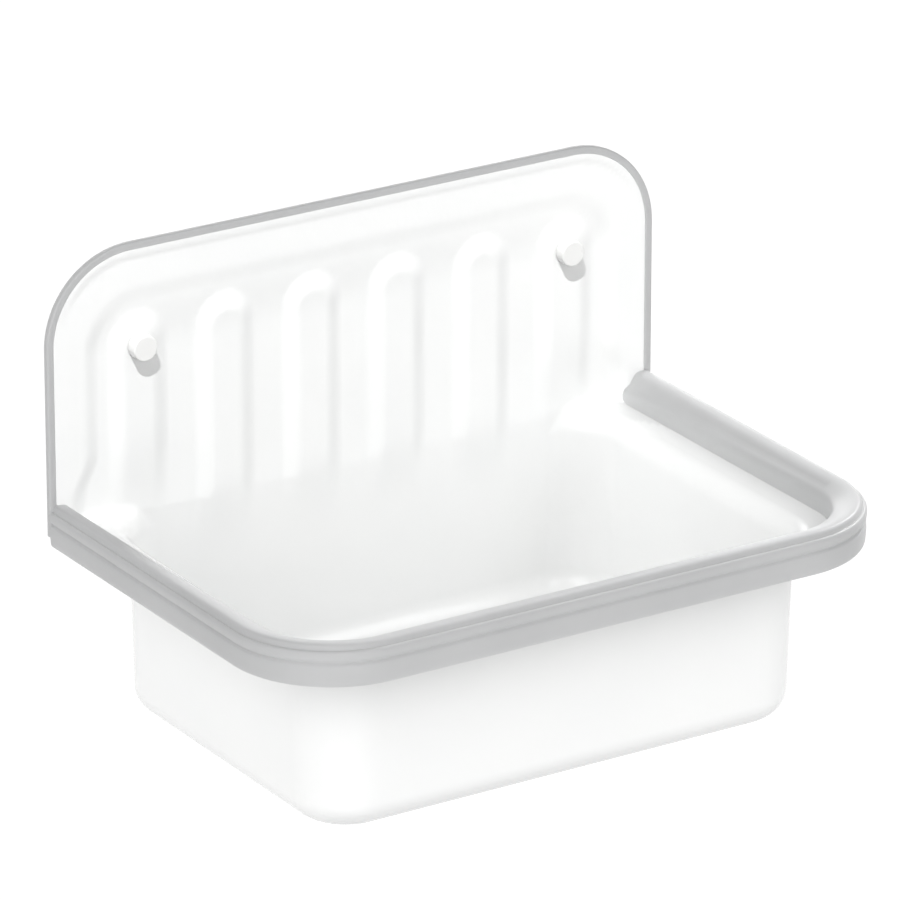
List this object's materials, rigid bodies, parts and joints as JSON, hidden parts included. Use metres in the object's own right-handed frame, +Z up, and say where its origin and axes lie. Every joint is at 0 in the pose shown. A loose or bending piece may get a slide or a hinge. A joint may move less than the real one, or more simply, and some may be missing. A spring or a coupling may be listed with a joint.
{
  "type": "wall-hung enamel steel utility sink with ribbed splashback",
  "caption": "White enamelled steel utility sink with a deep rounded bowl, a ribbed splashback, grey rim bumper and edge trim, wall bolts under caps and a lift-out waste plug.",
  "frame": {"origin": "on the wall face, midway between the two fixing bolts", "axes": "X right along the wall, Y into the wall so the bowl stands out along -Y, Z up"},
  "size_m": [0.51, 0.388, 0.3965],
  "materials": {
    "enamel_white": "glossy vitreous enamel",
    "pvc_grey": "satin soft PVC",
    "bush_grey": "moulded",
    "zinc_steel": "zinc plated",
    "cap_white": "moulded gloss",
    "chrome_brass": "polished",
    "raw_brass": "as machined",
    "rubber_black": "matt",
    "nylon_white": "moulded"
  },
  "bodies": {
    "sink": {"bowl": "enamel_white", "splashback": "enamel_white", "rim_bumper": "pvc_grey", "edge_trim": "pvc_grey", "fixing_bushes": "bush_grey", "hanger_bolts": "zinc_steel", "fixing_washers": "zinc_steel", "fixing_nuts": "zinc_steel", "screw_caps": "cap_white", "waste_body": "chrome_brass", "flange_gasket": "rubber_black", "under_gasket": "rubber_black", "slip_washer": "nylon_white", "lock_nut": "raw_brass"},
    "plug": {"plug_disc": "chrome_brass", "plug_seal": "rubber_black", "plug_knob": "chrome_brass"}
  },
  "joints": [
    {"name": "plug_lift", "type": "slide", "parent": "sink", "child": "plug", "axis": [0, 0, 1], "range_m": [0, 0.01]}
  ]
}
